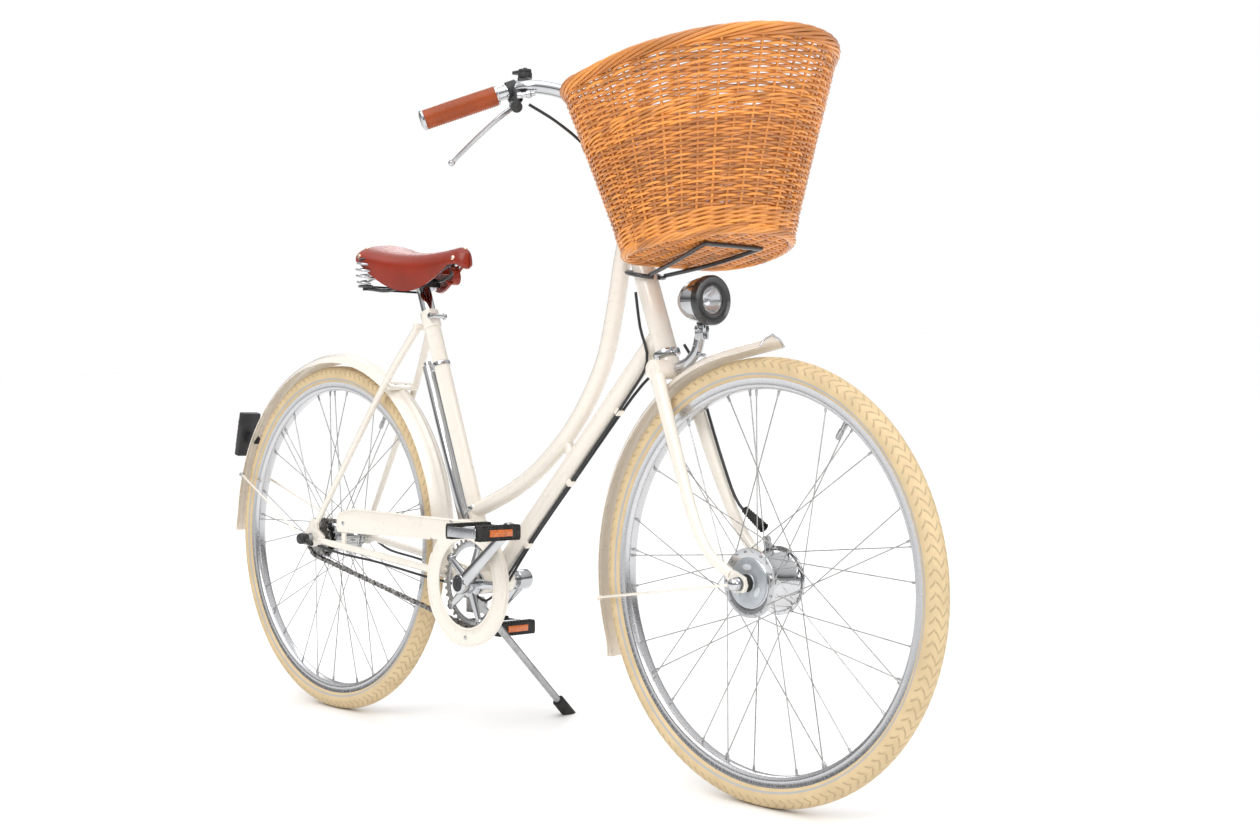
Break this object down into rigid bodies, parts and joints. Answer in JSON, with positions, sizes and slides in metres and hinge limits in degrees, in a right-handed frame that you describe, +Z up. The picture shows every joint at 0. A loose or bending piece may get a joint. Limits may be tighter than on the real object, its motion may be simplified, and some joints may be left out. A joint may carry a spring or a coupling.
{
  "type": "bicycle on stand",
  "caption": "Step-through loop-frame town bicycle standing on its side stand, with mudguards, chain guard, hub brake, lamp, sprung saddle and wicker basket.",
  "frame": {"origin": "ground level under the middle of the standing bicycle's bounding box", "axes": "+X the way the bicycle faces, +Y its left side (the stand's side), +Z up; the bicycle leans 4 degrees to +Y onto its stand"},
  "size_m": [1.8175, 0.5969, 1.1413],
  "materials": {
    "paint_ivory": "gloss enamel",
    "polished": "polished",
    "alloy": "satin",
    "steel": "plated",
    "black_plastic": "matt",
    "rubber": "matt",
    "cream_tyre": "matt rubber",
    "brown_leather": "waxed",
    "tan_leather": "stitched",
    "wicker": "varnished willow",
    "lens": "clear",
    "lamp_black": "gloss"
  },
  "bodies": {
    "frame": {"head_tube": "paint_ivory", "top_tube": "paint_ivory", "down_tube": "paint_ivory", "seat_tube": "paint_ivory", "bottom_bracket": "paint_ivory", "bearing_cups": "steel", "chain_stays": "paint_ivory", "seat_stays": "paint_ivory", "headset_cups": "polished", "pump": "polished", "rear_mudguard": "paint_ivory", "rear_mudguard_stays": "paint_ivory", "rear_lamp": "lamp_black", "chain_guard": "paint_ivory", "frame_cables": "rubber", "rear_axle": "steel", "rear_axle_nuts": "steel", "chain": "steel", "stand_bracket": "steel"},
    "saddle": {"seat_post": "alloy", "saddle_rails": "steel", "saddle_springs": "steel", "saddle_top": "brown_leather"},
    "steering": {"fork_crown": "paint_ivory", "fork_blades": "paint_ivory", "stem": "polished", "handlebar": "polished", "grips": "tan_leather", "lever_brackets": "black_plastic", "shifter_body": "black_plastic", "front_mudguard": "paint_ivory", "front_mudguard_stays": "paint_ivory", "headlamp_bracket": "polished", "basket": "wicker", "basket_support": "steel", "front_axle": "steel", "front_axle_nuts": "steel", "brake_plate": "alloy", "steering_cables": "rubber"},
    "headlamp": {"headlamp_shell": "polished", "headlamp_lens": "lens"},
    "right_lever": {"right_brake_lever": "alloy"},
    "left_lever": {"left_brake_lever": "alloy"},
    "gear_shifter": {"shifter_lever": "black_plastic"},
    "front_wheel": {"front_tyre": "cream_tyre", "front_rim": "alloy", "front_spokes": "steel", "front_hub": "alloy"},
    "rear_wheel": {"rear_tyre": "cream_tyre", "rear_rim": "alloy", "rear_spokes": "steel", "rear_hub": "alloy"},
    "rear_driver": {"rear_sprocket": "steel"},
    "crankset": {"chainring": "alloy", "cranks": "alloy", "crank_axle": "steel"},
    "right_pedal_body": {"right_pedal": "rubber"},
    "left_pedal_body": {"left_pedal": "rubber"},
    "side_stand": {"stand_leg": "steel", "stand_foot": "rubber"}
  },
  "joints": [
    {"name": "steering_turn", "type": "hinge", "parent": "frame", "child": "steering", "pos_m": [0.32254, -0.0171, 0.78513], "axis": [-0.3665, 0.0649, 0.9282], "range_deg": [-50, 50]},
    {"name": "front_wheel_spin", "type": "hinge", "parent": "steering", "child": "front_wheel", "pos_m": [0.577, -0.04884, 0.33124], "axis": [0, 0.9976, -0.0698], "continuous": true},
    {"name": "rear_wheel_spin", "type": "hinge", "parent": "frame", "child": "rear_wheel", "pos_m": [-0.543, -0.04884, 0.33124], "axis": [0, 0.9976, -0.0698], "continuous": true},
    {"name": "crank_spin", "type": "hinge", "parent": "frame", "child": "crankset", "pos_m": [-0.063, -0.05233, 0.28136], "axis": [0, 0.9976, -0.0698], "range_deg": [-8, 300]},
    {"name": "driver_spin", "type": "hinge", "parent": "frame", "child": "rear_driver", "pos_m": [-0.543, -0.09373, 0.33437], "axis": [0, 0.9976, -0.0698], "range_deg": [-17, 634]},
    {"name": "right_pedal_spin", "type": "hinge", "parent": "crankset", "child": "right_pedal_body", "pos_m": [0.0679, -0.16503, 0.38993], "axis": [0, 0.9976, -0.0698], "continuous": true},
    {"name": "left_pedal_spin", "type": "hinge", "parent": "crankset", "child": "left_pedal_body", "pos_m": [-0.1939, 0.06037, 0.17279], "axis": [0, 0.9976, -0.0698], "continuous": true},
    {"name": "stand_fold", "type": "hinge", "parent": "frame", "child": "side_stand", "pos_m": [-0.103, -0.0534, 0.23732], "axis": [-0.4571, 0.8891, -0.0236], "range_deg": [0, 100]},
    {"name": "right_brake", "type": "hinge", "parent": "steering", "child": "right_lever", "pos_m": [0.21259, -0.17908, 1.06649], "axis": [-0.8298, 0.4933, 0.2611], "range_deg": [0, 18], "stiffness_Nm_per_rad": 1.5, "springref_deg": -14.32},
    {"name": "left_brake", "type": "hinge", "parent": "steering", "child": "left_lever", "pos_m": [0.21259, 0.18246, 1.04121], "axis": [0.8298, 0.4521, -0.3272], "range_deg": [0, 18], "stiffness_Nm_per_rad": 1.5, "springref_deg": -14.32},
    {"name": "gear_shift", "type": "hinge", "parent": "steering", "child": "gear_shifter", "pos_m": [0.2108, -0.1546, 1.1205], "axis": [0, 0.0698, 0.9976], "range_deg": [0, 40]},
    {"name": "headlamp_tilt", "type": "hinge", "parent": "steering", "child": "headlamp", "pos_m": [0.44432, -0.02254, 0.70732], "axis": [0, 0.9976, -0.0698], "range_deg": [-10, 12]},
    {"name": "saddle_height", "type": "slide", "parent": "frame", "child": "saddle", "axis": [-0.3714, 0.0648, 0.9262], "range_m": [-0.03, 0.06]}
  ],
  "couplings": [
    {"joint": "driver_spin", "follows": "crank_spin", "ratio": 2.1111}
  ]
}
